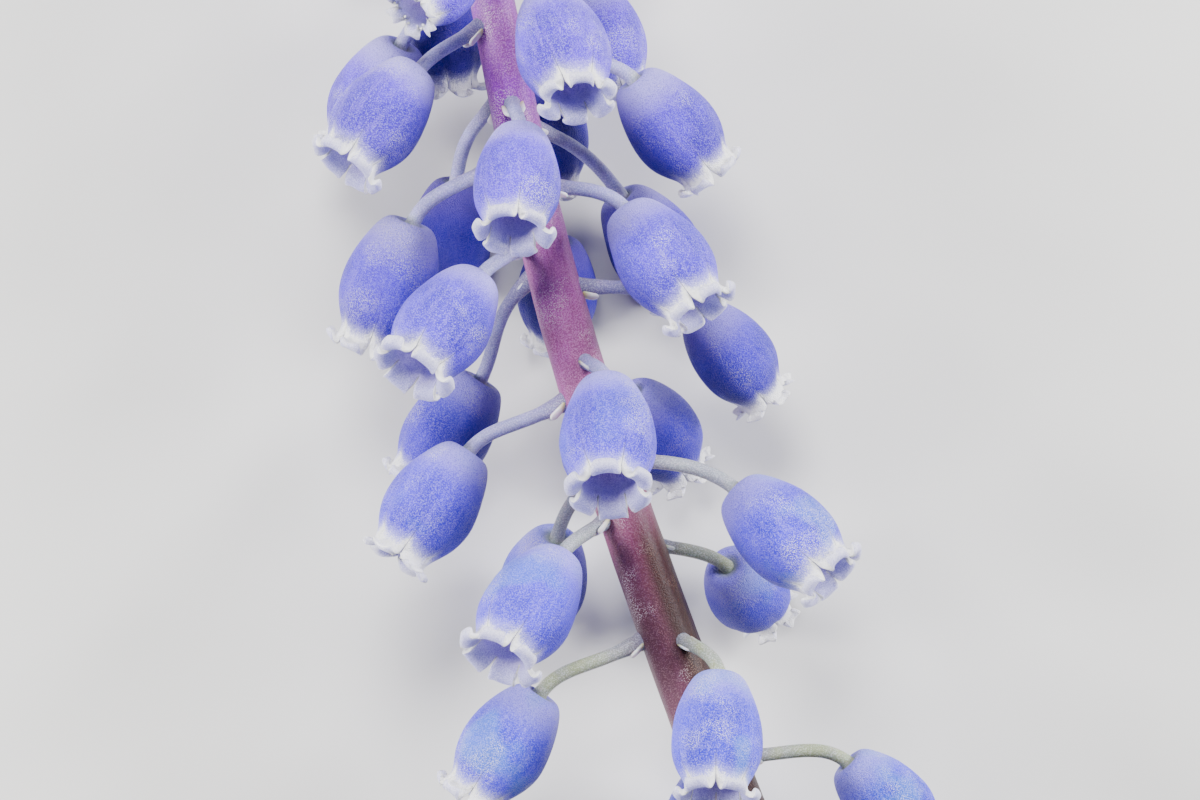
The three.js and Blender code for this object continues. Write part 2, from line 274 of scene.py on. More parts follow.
def make_floret_skin():
    material, tree, shader = new_material(
        "floret_skin", 0.42,
        Specular_IOR_Level=0.22, Sheen_Weight=0.16, Sheen_Roughness=0.1,
        Sheen_Tint=colour("#D4D4FF"),
        Subsurface_Weight=0.15, Subsurface_Scale=0.0005, Subsurface_Radius=(0.6, 0.6, 1.0),
    )
    place = object_place(tree)
    own = attribute(tree, "own", "Vector")
    along = attribute(tree, "along")
    age = attribute(tree, "age")
    painted_shade = attribute(tree, "painted_shade")
    wave = petal_wave(tree, own)
    grain = place_group(tree, CELL_GRAIN_AND_GLINTS, Place=place, Scale=PETAL_CELLS, Speck=0.5)
    mottle = place_group(tree, SOFT_MOTTLE, Place=place, Scale=380.0)
    streaks = clouds(tree, stretched(tree, own, (5.0, 5.0, 0.5)), 1.0, 3.0, 0.6)

    light = blend(tree, age, colour("#7E78FF"), colour("#9C70FF"))
    middle = blend(tree, age, colour("#3C34FF"), colour("#6C28F8"))
    dark = blend(tree, age, colour("#1C10D0"), colour("#4408BC"))
    body = blend(tree, fade(tree, along, 0.06, 0.4), light, middle)
    patch = reckon(tree, "MULTIPLY", fade(tree, along, 0.15, 0.45), mottle["Patches"])
    body = blend(tree, reckon(tree, "MULTIPLY", patch, 0.9), body, dark)
    body = blend(tree, fade(tree, streaks, 0.46, 0.7, 0.0, 0.45), body, light)
    cool = fade(tree, clouds(tree, place, 330.0), 0.5, 0.62)
    cool = reckon(tree, "MULTIPLY", fade(tree, age, 0.5, 0.1), cool)
    body = blend(tree, reckon(tree, "MULTIPLY", cool, 0.6), body, colour("#4C8CE8"))
    pale = fade(tree, along, 0.03, 0.32, 0.9, 0.0)
    pale = reckon(tree, "MULTIPLY", pale, fade(tree, age, 0.2, 0.7, 0.4, 1.0))
    body = blend(tree, pale, body, colour("#BCB4FF"))
    body = blend(tree, reckon(tree, "MULTIPLY", grain["Dark"], 0.45), body, dark)
    body = blend(tree, grain["Light"], body, colour("#B4ACFF"))
    # Painted highlight: white glints on cells in bright patches.
    body = blend(tree, reckon(tree, "MULTIPLY", grain["Painted_Glint"], 0.8), body, colour("#FFFFFF"))
    # Painted shade: darker behind the scape and on the side a floret turns to it.
    body = blend(tree, reckon(tree, "MULTIPLY", painted_shade, 0.92), body, colour("#5C3890"), "MULTIPLY")

    seam = reckon(tree, "DIVIDE", reckon(tree, "ARCCOSINE", wave), math.pi)
    rise = reckon(tree, "POWER", seam, 4.0)
    ragged = clouds(tree, stretched(tree, own, (7.0, 7.0, 1.4)), 1.0, 2.0)
    edge = reckon(tree, "ADD", along, reckon(tree, "MULTIPLY", rise, 0.07))
    edge = reckon(tree, "ADD", edge, reckon(tree, "MULTIPLY", ragged, 0.05))
    edge = reckon(tree, "ADD", edge, reckon(tree, "MULTIPLY", grain["Light"], 0.04))
    body = blend(tree, fade(tree, edge, 0.82, 0.94, 0.0, 0.45), body, colour("#E4E4FC"))
    body = blend(tree, fade(tree, edge, 0.9, 0.95), body, colour("#FBFAFC"))
    # Painted shade in the seams near the mouth, where the petals part.
    painted_seam_shade = reckon(tree, "MULTIPLY", fade(tree, seam, 0.965, 0.99), fade(tree, along, 0.6, 0.84))
    body = blend(tree, reckon(tree, "MULTIPLY", painted_seam_shade, 0.7), body, colour("#1C1470"))
    crown = distance_from_crown(tree, own)
    body = blend(tree, fade(tree, crown, 0.3, 0.75, 0.8, 0.0), body, colour("#7C8A60"))
    tree.links.new(body, shader.inputs["Base Color"])
    tree.links.new(fade(tree, grain["Painted_Glint"], 0.0, 1.0, 0.44, 0.2), shader.inputs["Roughness"])
    relief(tree, shader, grain["Height"], 0.00005, 1.0)
    return material


def make_floret_lining():
    material, tree, shader = new_material(
        "floret_lining", 0.5,
        Specular_IOR_Level=0.3, Sheen_Weight=0.1, Sheen_Roughness=0.3,
        Subsurface_Weight=1.0, Subsurface_Scale=0.001, Subsurface_Radius=(0.9, 0.9, 1.0),
    )
    place = object_place(tree)
    along = attribute(tree, "along")
    own = attribute(tree, "own", "Vector")
    grain = place_group(tree, CELL_GRAIN_AND_GLINTS, Place=place, Scale=PETAL_CELLS, Speck=0.3)
    streaks = clouds(tree, stretched(tree, own, (8.0, 8.0, 1.0)), 1.0, 2.0)
    body = blend(tree, fade(tree, along, 0.5, 0.86), colour("#AC90E4"), colour("#ACA0E4"))
    body = blend(tree, fade(tree, along, 0.86, 0.93), body, colour("#9C99D2"))
    body = blend(tree, fade(tree, along, 0.95, 1.0), body, colour("#D2D1EA"))
    body = blend(tree, fade(tree, streaks, 0.4, 0.7, 0.0, 0.35), body, colour("#847CC8"))
    body = blend(tree, reckon(tree, "MULTIPLY", grain["Dark"], 0.3), body, colour("#6A66A0"))
    body = blend(tree, grain["Light"], body, colour("#F2F1FF"))
    tree.links.new(body, shader.inputs["Base Color"])
    relief(tree, shader, grain["Height"], 0.000012, 0.5)
    return material


def make_scape_skin():
    material, tree, shader = new_material(
        "scape_skin", 0.42,
        Specular_IOR_Level=0.22, Sheen_Weight=0.05, Sheen_Roughness=0.15,
        Sheen_Tint=colour("#E9D3E6"), Subsurface_Weight=0.08, Subsurface_Scale=0.0006,
    )
    place = object_place(tree)
    along = attribute(tree, "along")
    grain = place_group(tree, CELL_GRAIN_AND_GLINTS, Place=place, Scale=STEM_CELLS, Speck=0.3)
    mottle = place_group(tree, SOFT_MOTTLE, Place=place, Scale=300.0)
    fibres = clouds(tree, stretched(tree, place, (4200.0, 900.0, 4200.0)), 1.0, 2.0)
    shaded = attribute(tree, "shaded")
    body = blend(tree, fade(tree, along, 0.64, 0.77), colour("#A8549C"), colour("#8820B4"))
    body = blend(tree, fade(tree, along, 0.5, 0.62), colour("#8A4468"), body)
    body = blend(tree, fade(tree, along, 0.46, 0.54), colour("#4C2836"), body)
    body = blend(tree, fade(tree, along, 0.12, 0.38), colour("#66684E"), body)
    body = blend(tree, reckon(tree, "MULTIPLY", mottle["Patches"], 0.45), body, colour("#6C4050"))
    body = blend(tree, fade(tree, fibres, 0.35, 0.7, 0.0, 0.2), body, colour("#6C3C58"))
    body = blend(tree, reckon(tree, "MULTIPLY", grain["Dark"], 0.4), body, colour("#5A3446"))
    glint = blend(tree, fade(tree, along, 0.46, 0.62), colour("#A88090"), colour("#DC9CC8"))
    body = blend(tree, grain["Light"], body, glint)
    # Painted highlight: pale glints on cells in patches.
    body = blend(tree, reckon(tree, "MULTIPLY", grain["Painted_Glint"], 0.7), body, colour("#EED6E6"))
    # Painted shadow: low down, the shaded side of the scape is darkened towards brown.
    shaded = reckon(tree, "MULTIPLY", shaded, fade(tree, along, 0.54, 0.5))
    body = blend(tree, shaded, body, colour("#847058"), "MULTIPLY")
    tree.links.new(body, shader.inputs["Base Color"])
    relief(tree, shader, reckon(tree, "ADD", grain["Height"], fibres), 0.00002, 0.6)
    return material


def make_pedicel_skin():
    material, tree, shader = new_material(
        "pedicel_skin", 0.48,
        Specular_IOR_Level=0.3, Sheen_Weight=0.12, Sheen_Roughness=0.2,
        Subsurface_Weight=0.15, Subsurface_Scale=0.0005,
    )
    place = object_place(tree)
    along = attribute(tree, "along")
    green = attribute(tree, "green")
    grain = place_group(tree, CELL_GRAIN_AND_GLINTS, Place=place, Scale=STEM_CELLS, Speck=0.3)
    mottle = place_group(tree, SOFT_MOTTLE, Place=place, Scale=1400.0)
    far_end = blend(tree, green, colour("#9490CC"), colour("#8C9670"))
    body = blend(tree, fade(tree, along, 0.0, 0.6), colour("#64547C"), far_end)
    body = blend(tree, reckon(tree, "MULTIPLY", mottle["Patches"], 0.3), body, colour("#7C7C98"))
    body = blend(tree, fade(tree, along, 0.9, 1.0, 0.0, 0.6), body, colour("#9AA586"))
    body = blend(tree, reckon(tree, "MULTIPLY", grain["Dark"], 0.25), body, colour("#66607C"))
    body = blend(tree, grain["Light"], body, colour("#E2E2F2"))
    tree.links.new(body, shader.inputs["Base Color"])
    relief(tree, shader, grain["Height"], 0.00001, 0.5)
    return material


def make_bract_scale():
    material, tree, shader = new_material(
        "bract_scale", 0.5, Subsurface_Weight=0.2, Subsurface_Scale=0.0004,
    )
    place = object_place(tree)
    along = attribute(tree, "along")
    mottle = place_group(tree, SOFT_MOTTLE, Place=place, Scale=3000.0)
    body = blend(tree, fade(tree, along, 0.0, 0.6), colour("#C3BE83"), colour("#F3EFEF"))
    body = blend(tree, reckon(tree, "MULTIPLY", mottle["Patches"], 0.3), body, colour("#D3B4CB"))
    tree.links.new(body, shader.inputs["Base Color"])
    return material


def make_plain_finish(name, roughness, one, other, scale):
    """A finish for the small parts inside: one colour clouded with another."""
    material, tree, shader = new_material(name, roughness)
    place = object_place(tree)
    mottle = place_group(tree, SOFT_MOTTLE, Place=place, Scale=scale)
    grain = place_group(tree, CELL_GRAIN_AND_GLINTS, Place=place, Scale=HEART_CELLS, Speck=0.2)
    body = blend(tree, mottle["Patches"], colour(one), colour(other))
    body = blend(tree, grain["Light"], body, (1, 1, 1))
    tree.links.new(body, shader.inputs["Base Color"])
    return material


FLORET_SKIN = make_floret_skin()
FLORET_LINING = make_floret_lining()
SCAPE_SKIN = make_scape_skin()
PEDICEL_SKIN = make_pedicel_skin()
BRACT_SCALE = make_bract_scale()
ANTHER = make_plain_finish("anther", 0.6, "#232A55", "#3A4484", 3000.0)
PISTIL = make_plain_finish("pistil", 0.5, "#B7C7A0", "#8FA0C4", 2000.0)
CUT_PITH = make_plain_finish("cut_pith", 0.55, "#C9CFA0", "#8E9A68", 1800.0)


# ---------------------------------------------------------------- hand tools

def deselect():
    bpy.ops.object.select_all(action="DESELECT")


def leave_edit():
    bpy.ops.object.mode_set(mode="OBJECT")


def start_circle(name, sides, radius, height):
    """A flat ring of corners, left in edit mode and selected."""
    deselect()
    bpy.ops.mesh.primitive_circle_add(vertices=sides, radius=radius)
    piece = bpy.context.object
    piece.name = piece.data.name = name
    bpy.ops.object.mode_set(mode="EDIT")
    bpy.ops.mesh.select_all(action="SELECT")
    bpy.ops.transform.translate(value=(0, 0, height))
    return piece


def pick(piece, wanted):
    """Selects the corners for which wanted(place) holds, with the edges and faces between."""
    mesh = bmesh.from_edit_mesh(piece.data)
    bpy.ops.mesh.select_all(action="DESELECT")
    for corner in mesh.verts:
        corner.select = wanted(corner.co)
    mesh.select_flush(True)
    bmesh.update_edit_mesh(piece.data)


def mark(piece, label, value):
    """Writes a number on the selected corners, for the finishes to read."""
    mesh = bmesh.from_edit_mesh(piece.data)
    layer = mesh.verts.layers.float.get(label) or mesh.verts.layers.float.new(label)
    for corner in mesh.verts:
        if corner.select:
            corner[layer] = value
    bmesh.update_edit_mesh(piece.data)


def extrude(move):
    bpy.ops.mesh.extrude_region_move(TRANSFORM_OT_translate={"value": move})


def resize(value, centre=(0, 0, 0)):
    bpy.ops.transform.resize(value=value, center_override=centre)


def extrude_rings(piece, rings, label="along", length=1.0):
    """From the selected ring, one extruded and resized ring for each (height, radius)."""
    for (low, before), (height, radius) in zip(rings, rings[1:]):
        extrude((0, 0, height - low))
        resize((radius / before, radius / before, 1), (0, 0, height))
        mark(piece, label, height / length)


def apply_modifier(piece, kind, **settings):
    modifier = piece.modifiers.new(kind.lower(), kind)
    for key, value in settings.items():
        setattr(modifier, key, value)
    bpy.context.view_layer.objects.active = piece
    bpy.ops.object.modifier_apply(modifier=modifier.name)


def smooth_finish(piece):
    deselect()
    piece.select_set(True)
    bpy.context.view_layer.objects.active = piece
    bpy.ops.object.shade_smooth()


def subdivide_finish(piece, levels):
    apply_modifier(piece, "SUBSURF", levels=levels, render_levels=levels)
    smooth_finish(piece)


def join(pieces):
    deselect()
    for piece in pieces:
        piece.select_set(True)
    bpy.context.view_layer.objects.active = pieces[0]
    bpy.ops.object.join()
    return pieces[0]


def dress(piece, *materials):
    for material in materials:
        piece.data.materials.append(material)


def note_places(piece):
    """Keeps each corner's place on the master, for patterns that follow a floret's own form."""
    layer = piece.data.attributes.new("own", "FLOAT_VECTOR", "POINT")
    for corner, stored in zip(piece.data.vertices, layer.data):
        stored.vector = corner.co


def write_number(piece, label, value):
    layer = piece.data.attributes.get(label) or piece.data.attributes.new(label, "FLOAT", "POINT")
    layer.data.foreach_set("value", [value] * len(piece.data.vertices))


def turn_of(place):
    return math.atan2(place.y, place.x) / DEG


def off_seam(place):
    """How many degrees a corner is from the nearest petal seam."""
    return abs((turn_of(place) + 60) % 60 - 30)


# ---------------------------------------------------------------- florets, in millimetres

COLUMNS = 36
FLORET_LENGTH = 5.5
CROWN_DIMPLE = 0.25
CAVITY_FLOOR = 1.2
BUD_END = 4.7
BUD_SIDES = 8
PETAL_WALL = 0.24

URN = [
    (0.22, 0.24),
    (0.12, 0.42),
    (0.03, 0.60),
    (0.01, 0.79),
    (0.12, 1.01),
    (0.34, 1.19),
    (0.70, 1.38),
    (1.15, 1.57),
    (1.70, 1.76),
    (2.30, 1.90),
    (2.95, 1.97),
    (3.50, 1.93),
    (3.95, 1.81),
    (4.32, 1.64),
    (4.62, 1.47),
    (4.82, 1.355),
]
# Each tooth from the notch to its tip: (height, distance out, half its width, share of the length).
TOOTH_CURLED = [
    (4.96, 1.32, 0.67, 0.89),
    (5.10, 1.32, 0.65, 0.91),
    (5.25, 1.35, 0.64, 0.93),
    (5.35, 1.41, 0.61, 0.95),
    (5.38, 1.49, 0.54, 0.97),
    (5.34, 1.56, 0.43, 0.985),
    (5.26, 1.58, 0.28, 1.0),
]
TOOTH_FLARED = [
    (4.97, 1.33, 0.67, 0.89),
    (5.12, 1.37, 0.66, 0.91),
    (5.24, 1.45, 0.66, 0.93),
    (5.30, 1.54, 0.63, 0.95),
    (5.29, 1.63, 0.56, 0.97),
    (5.23, 1.69, 0.45, 0.985),
    (5.15, 1.70, 0.29, 1.0),
]
TOOTH_SHY = [
    (4.96, 1.30, 0.67, 0.89),
    (5.12, 1.27, 0.66, 0.91),
    (5.26, 1.27, 0.65, 0.93),
    (5.37, 1.31, 0.60, 0.95),
    (5.44, 1.37, 0.52, 0.97),
    (5.46, 1.44, 0.40, 0.985),
    (5.44, 1.49, 0.25, 1.0),
]


def close_crown(piece, height):
    """Brings the small ring in the crown's dimple together at one corner."""
    pick(piece, lambda p: math.hypot(p.x, p.y) < URN[0][1] + 0.02 and p.z < 1)
    extrude((0, 0, height - URN[0][0]))
    bpy.ops.mesh.merge(type="CENTER")


def face_out(piece):
    """Turns an open shell so that its widest part faces away from the axis."""
    bpy.ops.mesh.select_all(action="SELECT")
    bpy.ops.mesh.normals_make_consistent(inside=False)
    mesh = bmesh.from_edit_mesh(piece.data)
    widest = max(mesh.faces, key=lambda f: f.calc_center_median().xy.length)
    if widest.normal.dot(widest.calc_center_median()) < 0:
        bpy.ops.mesh.flip_normals()


def six_sectors(piece):
    """The finished sixth is spun round the axis and the seams are merged."""
    bpy.ops.mesh.select_all(action="SELECT")
    bpy.ops.mesh.spin(steps=5, dupli=True, angle=300 * DEG, center=(0, 0, 0), axis=(0, 0, 1))
    bpy.ops.mesh.select_all(action="SELECT")
    bpy.ops.mesh.remove_doubles(threshold=0.002)


def groove_seams(piece, low, high, depth):
    pick(piece, lambda p: off_seam(p) < 1 and low < p.z < high and math.hypot(p.x, p.y) > 0.4)
    resize((1 - depth, 1 - depth, 1))


def make_sixth(name, rings):
    piece = start_circle(name, COLUMNS, rings[0][1], rings[0][0])
    pick(piece, lambda p: abs(turn_of(p)) > 31)
    bpy.ops.mesh.delete(type="VERT")
    bpy.ops.mesh.select_all(action="SELECT")
    mark(piece, "along", 0)
    extrude_rings(piece, rings, length=FLORET_LENGTH)
    return piece


def make_bloom(name, tooth):
    piece = make_sixth(name, URN)
    height, out = URN[-1]
    half = out * math.sin(30 * DEG)
    for next_height, next_out, next_half, share in tooth:
        extrude((next_out - out, 0, next_height - height))
        resize((1, next_half / half, 1))
        mark(piece, "along", share)
        height, out, half = next_height, next_out, next_half
    six_sectors(piece)
    close_crown(piece, CROWN_DIMPLE)
    groove_seams(piece, 4.5, 4.9, 0.075)
    groove_seams(piece, 3.4, 4.5, 0.05)
    groove_seams(piece, 1.5, 3.4, 0.018)
    face_out(piece)
    leave_edit()
    dress(piece, FLORET_SKIN, FLORET_LINING)
    apply_modifier(
        piece, "SOLIDIFY",
        thickness=PETAL_WALL, offset=-1, use_even_offset=True, material_offset=1,
    )
    subdivide_finish(piece, 1)
    piece = join([piece, make_heart()])
    note_places(piece)
    return piece


PISTIL_RINGS = [
    (0.6, 0.25), (0.9, 0.5), (1.4, 0.58), (1.9, 0.42), (2.1, 0.13), (2.8, 0.09), (2.95, 0.14),
]
ANTHER_RINGS = [(2.0, 0.05), (2.6, 0.05), (2.66, 0.13), (2.85, 0.2), (3.05, 0.16)]


def make_heart():
    """The pistil standing in the urn, with six anthers round it."""
    pistil = start_circle("pistil", 10, PISTIL_RINGS[0][1], PISTIL_RINGS[0][0])
    extrude_rings(pistil, PISTIL_RINGS)
    extrude((0, 0, 0.04))
    bpy.ops.mesh.merge(type="CENTER")
    pick(pistil, lambda p: p.z < 0.61)
    extrude((0, 0, -0.05))
    bpy.ops.mesh.merge(type="CENTER")
    bpy.ops.mesh.select_all(action="SELECT")
    bpy.ops.mesh.normals_make_consistent(inside=False)
    leave_edit()
    dress(pistil, PISTIL)
    smooth_finish(pistil)
    anther = start_circle("anther", 8, ANTHER_RINGS[0][1], ANTHER_RINGS[0][0])
    extrude_rings(anther, ANTHER_RINGS)
    extrude((0, 0, 0.07))
    bpy.ops.mesh.merge(type="CENTER")
    pick(anther, lambda p: p.z > 2.62 and abs(p.x) < 0.03)
    resize((1, 0.7, 1), (0, 0, 2.85))
    pick(anther, lambda p: p.z < 2.01)
    extrude((0, 0, -0.05))
    bpy.ops.mesh.merge(type="CENTER")
    bpy.ops.mesh.select_all(action="SELECT")
    bpy.ops.transform.translate(value=(1.0, 0, 0))
    bpy.ops.mesh.spin(steps=5, dupli=True, angle=300 * DEG, center=(0, 0, 0), axis=(0, 0, 1))
    bpy.ops.mesh.select_all(action="SELECT")
    bpy.ops.mesh.normals_make_consistent(inside=False)
    leave_edit()
    dress(anther, ANTHER)
    smooth_finish(anther)
    return join([pistil, anther])


BUD = URN[:10] + [(2.9, 1.87), (3.5, 1.64), (3.95, 1.32), (4.3, 0.93), (4.55, 0.5), (4.66, 0.2)]


def make_bud(name):
    piece = make_sixth(name, BUD)
    six_sectors(piece)
    close_crown(piece, CROWN_DIMPLE * 0.4)
    pick(piece, lambda p: math.hypot(p.x, p.y) < 0.22 and p.z > 4)
    extrude((0, 0, BUD_END - BUD[-1][0]))
    bpy.ops.mesh.merge(type="CENTER")
    mark(piece, "along", 0.86)
    groove_seams(piece, 3.2, 4.6, 0.09)
    groove_seams(piece, 0.5, 3.2, 0.02)
    face_out(piece)
    leave_edit()
    dress(piece, FLORET_SKIN)
    subdivide_finish(piece, 1)
    note_places(piece)
    return piece


BLOOMS = [
    make_bloom("bloom_curled", TOOTH_CURLED),
    make_bloom("bloom_flared", TOOTH_FLARED),
    make_bloom("bloom_shy", TOOTH_SHY),
]
CLOSED_BUD = make_bud("closed_bud")


# ---------------------------------------------------------------- where the solids are

MERGE = 0.000002
SCAPE_LINE = [
    (3.8, -46, -6.05),
    (2.3, -32, -3.1),
    (0.85, -18, -0.45),
    (0.2, -8, 0),
    (0, 0, 0),
    (0.2, 8, 0),
    (1.05, 17.5, 0),
    (1.9, 26, -0.2),
    (2.45, 32.4, -0.5),
]
SCAPE_RADII = [(-46, 1.5), (-18, 1.32), (17.5, 0.97), (32.4, 0.5)]


def merged(node):
    """The node's triangles joined into one mesh; the node itself stays as it is."""
    mesh = bmesh.new()
    mesh.from_mesh(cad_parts[node].data)
    bmesh.ops.remove_doubles(mesh, verts=mesh.verts, dist=MERGE)
    return mesh


def average(points):
    points = list(points)
    return sum(points, Vector()) / len(points)


def standing(node):
    """Where a floret stands: a matrix from the master's millimetres to its place, and whether
    it is open. The two corners where most edges meet are the ends of its axis: on an open
    floret the crown's dimple and the floor of the urn, on a bud the crown and the tip."""
    mesh = merged(node)
    ends = sorted(mesh.verts, key=lambda v: -len(v.link_edges))[:2]
    is_open = len(ends[0].link_edges) > BUD_SIDES
    middle = average(v.co for v in mesh.verts)
    near, far = sorted((v.co.copy() for v in ends), key=lambda p: (p - middle).length)
    crown, inner = (far, near) if is_open else (near, far)
    scale = (inner - crown).length / (CAVITY_FLOOR - CROWN_DIMPLE if is_open else BUD_END)
    aim = (inner - crown).normalized()
    if is_open:
        crown -= aim * CROWN_DIMPLE * scale
        side = max((v.co - crown for v in mesh.verts), key=lambda p: p.length)
    else:
        side = max((v.co - crown for v in mesh.verts), key=lambda p: p.cross(aim).length)
    side = (side - aim * side.dot(aim)).normalized()
    mesh.free()
    turn = Matrix((side, aim.cross(side), aim)).transposed().to_4x4()
    return Matrix.Translation(crown) @ turn @ Matrix.Scale(scale, 4), is_open


def between(value, pairs):
    """Reads a value off a list of (place, value) pairs, straight between them."""
    for (low, before), (high, after) in zip(pairs, pairs[1:]):
        if value <= high:
            break
    return before + (after - before) * (value - low) / (high - low)


scape_solid = merged("scape")
cut_end = min((v for v in scape_solid.verts if len(v.link_edges) >= 12), key=lambda v: v.co.y)
scape_shift = cut_end.co / MM - Vector(SCAPE_LINE[0])


# ---------------------------------------------------------------- florets in their places

TEETH = 6
# The height and distance out that a tooth turns about, and how it may turn.
HINGE = (4.9, 1.36)
TOOTH_SPREAD = 14
CURL_ABOVE = 0.3
DROOP_BELOW = 1.1
# How far a floret may be squeezed, swayed and swollen out of round.
MOST_SQUEEZE = 0.03
MOST_SWAY = 0.014
MOST_SWELL = 0.035
# Where the oldest florets hang, in millimetres up the raceme, and how much higher the youngest do.
OLDEST_AT = -12
AGE_SPAN = 44


def vary(mesh, curl_spread, upward):
    """No two are alike: a floret is a little out of round and its teeth curl differently, those
    on its upper side further back than those that hang below."""
    squeeze = luck.uniform(-MOST_SQUEEZE, MOST_SQUEEZE)
    sway = Vector((luck.uniform(-1, 1), luck.uniform(-1, 1), 0)) * MOST_SWAY
    curls = [luck.uniform(-1, 0.7) * curl_spread * DEG for _ in range(TEETH)]
    for tooth in range(TEETH):
        lifted = upward.x * math.cos(tooth * 60 * DEG) + upward.y * math.sin(tooth * 60 * DEG)
        bend = CURL_ABOVE if lifted > 0 else DROOP_BELOW
        curls[tooth] += curl_spread * DEG * (bend * lifted)
    drift = Vector((luck.uniform(0, 50), luck.uniform(0, 50), luck.uniform(0, 50)))
    along = mesh.attributes["along"].data
    for k, corner in enumerate(mesh.vertices):
        place = corner.co
        loose = min(max((along[k].value - 0.88) / 0.05, 0), 1)
        if loose and place.z > 4.4:
            tooth = round(turn_of(place) / 60) % TEETH
            out = Vector((math.cos(tooth * 60 * DEG), math.sin(tooth * 60 * DEG), 0))
            down = place.z - HINGE[0]
            reach = place.dot(out) - HINGE[1]
            turn = curls[tooth] * loose
            place += out * (reach * math.cos(turn) + down * math.sin(turn) - reach)
            place.z += down * math.cos(turn) - reach * math.sin(turn) - down
        swell = 1 + MOST_SWELL * noise.noise(place * 0.55 + drift)
        place.x *= swell * (1 + squeeze)
        place.y *= swell * (1 - squeeze)
        place += sway * (place.z - 2.5) * abs(place.z - 2.5)


def copy_of(master, name):
    piece = bpy.data.objects.new(name, master.data.copy())
    bpy.context.scene.collection.objects.link(piece)
    return piece


def hand_over(piece, node):
    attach(piece, "root")
    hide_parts(node)


def age_at(y):
    """0 for the oldest, bluest florets at the foot of the raceme, 1 for the youngest."""
    return min(max((y / MM - OLDEST_AT) / AGE_SPAN, 0), 1)


def drop_needed(piece):
    """How far down a piece has to go to lie under the highest solid, or up to lie on the table."""
    heights = [corner.co.z for corner in piece.data.vertices]
    return max(max(heights) - HIGHEST, 0) or min(min(heights), 0)


# No floret rises above this.
HIGHEST = 15.0 * MM
# Degrees that a floret is turned about its own axis from the level that the solids keep.
ROLLS = {"floret_05": 10, "floret_12": 15, "floret_15": -8, "floret_19": 30, "floret_26": 8}
# Florets with their teeth turned right out, and ones that have hardly opened them.
WIDE_OPEN = {"floret_03", "floret_09", "floret_12", "floret_19", "floret_24", "floret_26"}
HALF_SHUT = {"floret_01", "floret_04", "floret_16", "floret_22"}
# Painted shade: florets that hang in shade are darkened, and by how much.
PAINTED_SHADE_BY_FLORET = {
    "floret_03": 0.15, "floret_04": 0.4, "floret_07": 0.25, "floret_08": 0.3, "floret_10": 0.4,
    "floret_11": 0.35, "floret_13": 0.5, "floret_15": 0.12, "floret_16": 0.5, "floret_17": 0.1,
    "floret_27": 0.1,
}
FLORET_MIDDLE = 2.7
# A floret whose crown is lower than this, in millimetres, is behind the scape and gets painted
# shade, at its darkest when it is lower by the depth.
BEHIND_BELOW = 6.2
BEHIND_DEPTH = 3
BEHIND_SHADE = 0.6
INNER_SHADE = 0.9


def scape_middle(y):
    """The middle of the scape at a height up the raceme."""
    line = [Vector(place) + scape_shift for place in SCAPE_LINE]
    x = between(y / MM, [(p.y, p.x) for p in line])
    z = between(y / MM, [(p.y, p.z) for p in line])
    return Vector((x * MM, y, z * MM))


def paint_shade(piece, node, matrix):
    """Painted shade: darker behind the scape, and on the side that a floret turns to it."""
    middle = matrix @ Vector((0, 0, FLORET_MIDDLE))
    aim = (middle - matrix.translation).normalized()
    inward = scape_middle(middle.y) - middle
    inward = (inward - aim * inward.dot(aim)).normalized()
    behind = min(max((BEHIND_BELOW - matrix.translation.z / MM) / BEHIND_DEPTH, 0), 1)
    whole = PAINTED_SHADE_BY_FLORET.get(node, 0) + BEHIND_SHADE * behind
    half_width = 2 * matrix.median_scale
    painted_shade = piece.data.attributes.new("painted_shade", "FLOAT", "POINT").data
    for k, corner in enumerate(piece.data.vertices):
        across = (corner.co - middle).dot(inward) / half_width
        painted_shade[k].value = min(whole + INNER_SHADE * min(max(across, 0), 1), 1)


def set_floret(node, name, master):
    matrix, is_open = standing(node)
    matrix = matrix @ Matrix.Rotation(ROLLS.get(node, 0) * DEG, 4, "Z")
    piece = copy_of(master, name)
    upward = matrix.to_3x3().inverted() @ Vector((0, 0, 1))
    vary(piece.data, TOOTH_SPREAD if is_open else 0, upward.normalized())
    piece.data.transform(matrix)
    settle = Matrix.Translation((0, 0, -drop_needed(piece)))
    piece.data.transform(settle)
    matrix = settle @ matrix
    write_number(piece, "age", age_at(matrix.translation.y))
    paint_shade(piece, node, matrix)
    hand_over(piece, node)
    return matrix, is_open


stands = []
for node in sorted(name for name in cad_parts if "floret" in name):
    is_bud = max(len(v.link_edges) for v in merged(node).verts) <= BUD_SIDES
    habit = 1 if node in WIDE_OPEN else 2 if node in HALF_SHUT else luck.choice((0, 0, 0, 2))
    master = CLOSED_BUD if is_bud else BLOOMS[habit]
    stands.append(set_floret(node, node.replace("floret", "bloom"), master))


# ---------------------------------------------------------------- the scape, in millimetres

SCAPE_SIDES = 24
SCAPE_RINGS = 84
SCAPE_TOP = 0.25
SHADE_STARTS = -0.25
SHADE_WIDTH = 0.6
# Where ribs run down the scape, in degrees round it, and how far they are drawn in.
RIB_TURNS = (18, 63, 108, 168, 213, 288, 333)
RIB_DEPTH = 0.035


def make_guide():
    """The line that the scape is bent along."""
    bpy.ops.curve.primitive_bezier_curve_add()
    guide = bpy.context.object
    guide.name = "scape_guide"
    guide.data.resolution_u = 24
    points = guide.data.splines[0].bezier_points
    points.add(len(SCAPE_LINE) - 2)
    for point, place in zip(points, SCAPE_LINE):
        point.co = Vector(place) + scape_shift
        point.handle_left_type = point.handle_right_type = "AUTO"
    return guide


def line_of(guide):
    """Points along a curve, and how far along it each one is."""
    mesh = guide.to_mesh()
    points = [corner.co.copy() for corner in mesh.vertices]
    guide.to_mesh_clear()
    walked = [0.0]
    for one, other in zip(points, points[1:]):
        walked.append(walked[-1] + (other - one).length)
    return points, walked


